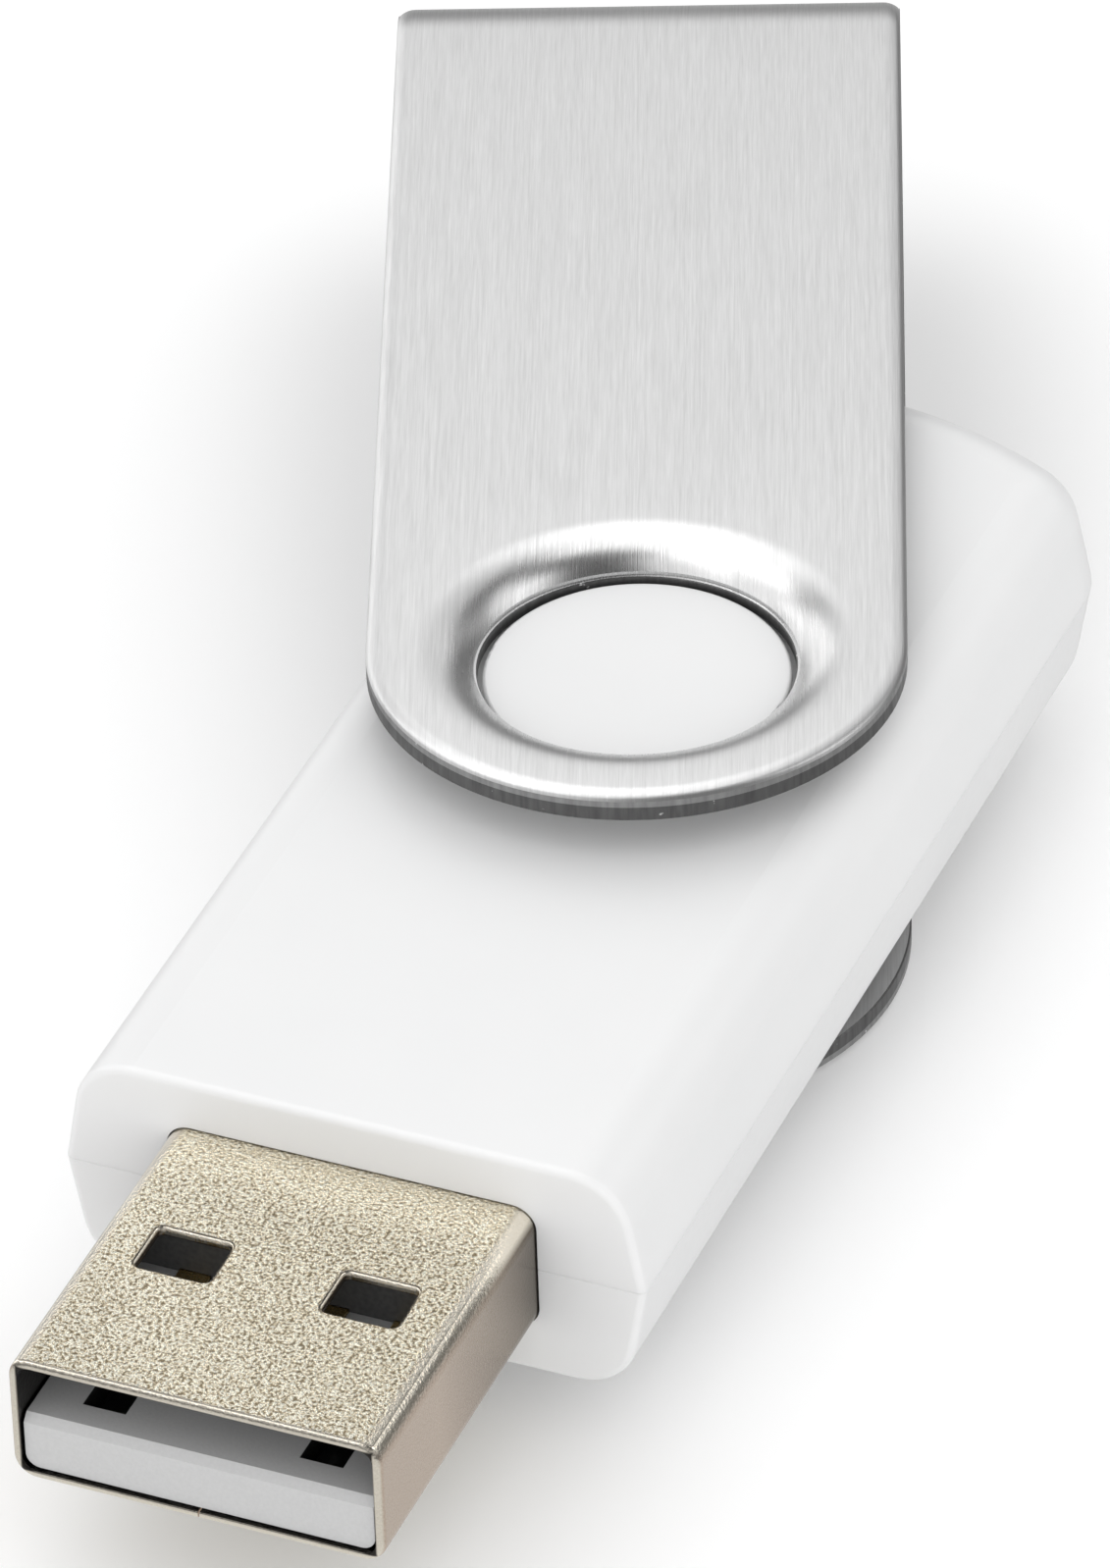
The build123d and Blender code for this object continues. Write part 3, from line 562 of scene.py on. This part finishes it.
def plated_shell():
    """Champagne nickel plating: pebbled on the broad faces, and smooth with a painted highlight where
    it rolls over.
    """
    nodes = Nodes("plated_shell")
    pebble = nodes.noise(nodes.place, PEBBLES, detail=3, roughness=0.6)
    fine = nodes.noise(nodes.place, PLATING_GRAINS, detail=2)
    # 1 on the broad faces and 0 on the sides
    facing = nodes.size_of(nodes.normal, "Z")
    along = nodes.part_of(nodes.place, "X")
    # the broad faces are pebbled, less so close to the housing; the pebbles' hollows are painted dark
    # as painted shade and their crests light as painted highlights
    broad_face = nodes.map(facing, 0.8, 0.99, 0.1, 1.0)
    grain = nodes.math("MULTIPLY", broad_face, nodes.map(along, 0.0, 3.0, 0.35, 1.0))
    coarse = nodes.mix(grain, nodes.map(fine, 0, 1, 0.42, 0.58), pebble)
    shaded_hollow = (0.27, 0.21, 0.12)
    slope = (0.85, 0.755, 0.565)
    highlit_crest = (1.0, 0.965, 0.83)
    pebbled = nodes.ramp(coarse, ((0.39, shaded_hollow), (0.48, slope), (0.56, highlit_crest)))
    # the sides are smooth and painted darker and browner than the broad faces as painted shade, and
    # darker still close to the housing
    away_from_housing = nodes.map(along, 0.0, SIDE_SHADE_REACH, 0.0, 1.0)
    near_side_shade = nodes.shades(fine, (0.05, 0.038, 0.029), (0.09, 0.07, 0.053))
    far_side_shade = nodes.shades(fine, (0.62, 0.5, 0.405), (0.76, 0.63, 0.525))
    outside = nodes.mix(broad_face, nodes.mix(away_from_housing, near_side_shade, far_side_shade), pebbled)
    # every rolled edge, and the cut rim of the mouth, is smoother, and its colour is a painted
    # highlight
    off_side = nodes.map(facing, 0.3, 0.6, 0.0, 1.0)
    off_face = nodes.map(facing, 0.9, 0.98, 1.0, 0.0)
    rim = nodes.map(nodes.part_of(nodes.normal, "X"), 0.5, 0.8, 0.0, 1.0)
    polish_and_highlight = nodes.math("MAXIMUM", nodes.math("MULTIPLY", off_side, off_face), rim)
    # the painted highlight's colour
    bright = nodes.shades(fine, (0.9, 0.83, 0.7), (0.98, 0.92, 0.8))
    outside = nodes.mix(polish_and_highlight, outside, bright)
    # the shell's inner face is painted near-black, as painted shade
    depth = nodes.math(
        "MAXIMUM",
        nodes.math("SUBTRACT", nodes.size_of(nodes.place, "Y"), PLUG_INNER_HALF_WIDTH),
        nodes.math("SUBTRACT", nodes.size_of(nodes.place, "Z"), PLUG_INNER_HALF_HEIGHT),
    )
    inside = nodes.shades(fine, (0.03, 0.028, 0.025), (0.06, 0.055, 0.05))
    # 0 on the inner face, where the painted shade is, and 1 outside it
    plating = nodes.map(depth, 0.0, INNER_SHADE_EDGE, 0.0, 1.0)
    pebble_relief = nodes.bump(nodes.math("MULTIPLY", pebble, grain), PEBBLE_DEPTH)
    nodes.set(
        Base_Color=nodes.mix(plating, inside, outside),
        Metallic=1.0,
        Roughness=nodes.map(polish_and_highlight, 0.0, 1.0, 0.22, 0.16),
        Normal=nodes.bump(fine, PLATING_DEPTH, after=pebble_relief),
    )
    return nodes.material


def moulded(name, dark, light, roughness, grain):
    """A plain moulded plastic, resin or ceramic with a fine grain."""
    nodes = Nodes(name)
    specks = nodes.noise(nodes.place, grain, detail=4)
    nodes.set(
        Base_Color=nodes.shades(specks, dark, light),
        Roughness=nodes.varied(specks, roughness + MOULDED_STRAY, roughness - MOULDED_STRAY),
        Normal=nodes.bump(specks, MOULDED_RELIEF),
    )
    return nodes.material


def tongue_plastic():
    """Pale plastic, with the insides of the pits ahead of the contacts painted black as painted
    shade.
    """
    nodes = Nodes("tongue_plastic")
    specks = nodes.noise(nodes.place, 9.0, detail=4)
    height = nodes.part_of(nodes.place, "Z")
    along = nodes.part_of(nodes.place, "X")
    aside = nodes.size_of(nodes.place, "Y")
    below_top = nodes.map(height, -PIT_EDGE, 0.0, 1.0, 0.0)
    above_floor = nodes.map(height, -PIT_DEPTH - PIT_EDGE, -PIT_DEPTH, 0.0, 1.0)
    behind_nose = nodes.map(along, PIT_REACH, PIT_REACH + PIT_EDGE, 1.0, 0.0)
    off_sides = nodes.map(aside, PIT_SPREAD, PIT_SPREAD + PIT_EDGE, 1.0, 0.0)
    in_height = nodes.math("MULTIPLY", below_top, above_floor)
    in_outline = nodes.math("MULTIPLY", behind_nose, off_sides)
    # the pits' walls and floors, which get the black painted shade
    pit = nodes.math("MULTIPLY", in_height, in_outline)
    pale = nodes.shades(specks, grey(0.46), grey(0.49))
    black = nodes.shades(specks, grey(0.01), grey(0.02))
    nodes.set(
        Base_Color=nodes.mix(pit, pale, black),
        Roughness=nodes.varied(specks, 0.56, 0.44),
        Normal=nodes.bump(specks, MOULDED_RELIEF),
    )
    return nodes.material


def plated(name, dark, light, roughness, grain, depth):
    """Bare or plated metal with a fine uneven surface."""
    nodes = Nodes(name)
    specks = nodes.noise(nodes.place, grain, detail=3)
    nodes.set(
        Base_Color=nodes.shades(specks, dark, light),
        Metallic=1.0,
        Roughness=nodes.varied(specks, roughness + DULL_SPOTS, roughness - BRIGHT_SPOTS),
        Normal=nodes.bump(specks, depth),
    )
    return nodes.material


steel = brushed_steel()
# the cut edges are far darker than the brushed faces partly as painted shade, and the torn band
# darkest, also partly painted shade
sheared_edge_and_shade = cut_steel("sheared_steel_and_shade", 0.3, 0.38, 0.004)
torn_edge_and_shade = cut_steel("torn_steel_and_shade", 0.13, 0.17, 0.008)
node_materials = {
    "housing_plastic": white_plastic(),
    "plug_metal": plated_shell(),
    "tongue_plastic": tongue_plastic(),
    # the rear block's near-black colour is painted shade, for the dark seen through the windows
    "block_plastic": moulded("block_plastic", grey(0.055), grey(0.08), 0.5, 6.0),
    "contact_gold": plated("contact_gold", (0.6, 0.42, 0.16), (0.9, 0.68, 0.32), 0.25, 8.0, 0.004),
    "board_mask": moulded("board_mask", (0.012, 0.12, 0.045), (0.02, 0.2, 0.08), 0.35, 2.5),
    "chip_resin": moulded("chip_resin", grey(0.012), grey(0.03), 0.55, 9.0),
    "lead_tin": plated("lead_tin", grey(0.55), grey(0.78), 0.3, 10.0, 0.004),
    "crystal_can": plated("crystal_can", (0.6, 0.57, 0.5), (0.78, 0.75, 0.68), 0.3, 7.0, 0.004),
    "capacitor_ceramic": moulded("capacitor_ceramic", (0.3, 0.19, 0.1), (0.48, 0.33, 0.2), 0.45, 9.0),
    "resistor_film": moulded("resistor_film", grey(0.015), grey(0.04), 0.3, 9.0),
    "solder": plated("solder", grey(0.5), grey(0.75), 0.22, 4.0, 0.012),
}

for part in frame["record"]["subparts"]:
    if part["material_slot"] in node_materials:
        for slot in bpy.data.objects[part["node"]].material_slots:
            slot.material = node_materials[part["material_slot"]]

clip = build_clip([steel, sheared_edge_and_shade, torn_edge_and_shade])


# ---------------------------------------------------------------- floor, light and camera


def direction_to(azimuth, elevation):
    """The unit vector that points towards an azimuth and an elevation, in radians."""
    level = cos(elevation)
    return Vector((level * cos(azimuth), level * sin(azimuth), sin(elevation)))


def add_floor():
    """A pale floor at the object's lowest point."""
    mesh = bmesh.new()
    bmesh.ops.create_grid(mesh, x_segments=FLOOR_CELLS, y_segments=FLOOR_CELLS, size=FLOOR_HALF_WIDTH)
    data = bpy.data.meshes.new("floor")
    mesh.to_mesh(data)
    mesh.free()
    floor = bpy.data.objects.new("floor", data)
    floor.location = (0, 0, cad_box[0][2])
    nodes = Nodes("floor")
    cloud = nodes.noise(nodes.place, 0.01, detail=2)
    nodes.set(Base_Color=nodes.shades(cloud, grey(0.93), grey(0.95)), Roughness=0.9)
    data.materials.append(nodes.material)
    bpy.context.scene.collection.objects.link(floor)
    floor.visible_glossy = False


def add_light(name, azimuth, elevation, distance, size, radiance):
    """A square soft light that faces the swivel from an azimuth and an elevation."""
    away = direction_to(radians(azimuth), radians(elevation))
    data = bpy.data.lights.new(name, "AREA")
    data.size = size
    data.energy = radiance * pi * size**2
    light = bpy.data.objects.new(name, data)
    light.location = PIVOT + away * distance
    light.rotation_euler = away.to_track_quat("Z", "Y").to_euler()
    bpy.context.scene.collection.objects.link(light)
    return light


def add_fill(name, azimuth, elevation, distance, size, radiance):
    """A light that fills shadows without showing in reflections."""
    light = add_light(name, azimuth, elevation, distance, size, radiance)
    light.visible_glossy = False


def add_card(name, azimuth, elevation, distance, size, radiance):
    """A light panel that only shows in reflections."""
    light = add_light(name, azimuth, elevation, distance, size, radiance)
    light.visible_diffuse = False


def add_world():
    """An even white dome for soft light, that reflections see as a dim studio."""
    world = bpy.data.worlds.new("studio")
    world.use_nodes = True
    tree = world.node_tree
    direction = tree.nodes.new("ShaderNodeTexCoord")
    part = tree.nodes.new("ShaderNodeSeparateXYZ")
    # straight down is -1 and straight up 1, which becomes 0 to 1 for the ramp
    spread = tree.nodes.new("ShaderNodeMapRange")
    spread.inputs["From Min"].default_value = -1
    ramp = tree.nodes.new("ShaderNodeValToRGB")
    ray = tree.nodes.new("ShaderNodeLightPath")
    mix = tree.nodes.new("ShaderNodeMix")
    mix.data_type = "RGBA"
    mix.inputs[MIX_FIRST].default_value = (*grey(DOME), 1)
    set_stops(ramp.color_ramp, [(place, grey(level)) for place, level in ROOM])
    tree.links.new(direction.outputs["Generated"], part.inputs[0])
    tree.links.new(part.outputs["Z"], spread.inputs["Value"])
    tree.links.new(spread.outputs["Result"], ramp.inputs["Fac"])
    tree.links.new(ray.outputs["Is Glossy Ray"], mix.inputs[MIX_FACTOR])
    tree.links.new(ramp.outputs["Color"], mix.inputs[MIX_SECOND])
    tree.links.new(mix.outputs[MIX_RESULT], tree.nodes["Background"].inputs["Color"])
    bpy.context.scene.world = world


def add_camera():
    """The camera that looks down on the plug's end from its right."""
    back = direction_to(CAMERA_AZIMUTH, CAMERA_ELEVATION)
    level = Vector((-sin(CAMERA_AZIMUTH), cos(CAMERA_AZIMUTH), 0))
    lift = back.cross(level)
    right = level * cos(CAMERA_ROLL) + lift * sin(CAMERA_ROLL)
    above = lift * cos(CAMERA_ROLL) - level * sin(CAMERA_ROLL)
    place = PIVOT + right * CAMERA_AIM[0] + above * CAMERA_AIM[1] + back * CAMERA_DISTANCE
    data = bpy.data.cameras.new("camera")
    data.lens = CAMERA_LENS
    data.clip_start = CAMERA_NEAR
    data.clip_end = CAMERA_FAR
    camera = bpy.data.objects.new("camera", data)
    turn = Matrix((right, above, back)).transposed().to_4x4()
    camera.matrix_world = Matrix.Translation(place) @ turn
    bpy.context.scene.collection.objects.link(camera)
    bpy.context.scene.camera = camera


bpy.context.scene.view_settings.view_transform = "Standard"
add_floor()
add_world()
for card in CARDS:
    add_card(*card)
add_fill(*FRONT_FILL)
add_camera()
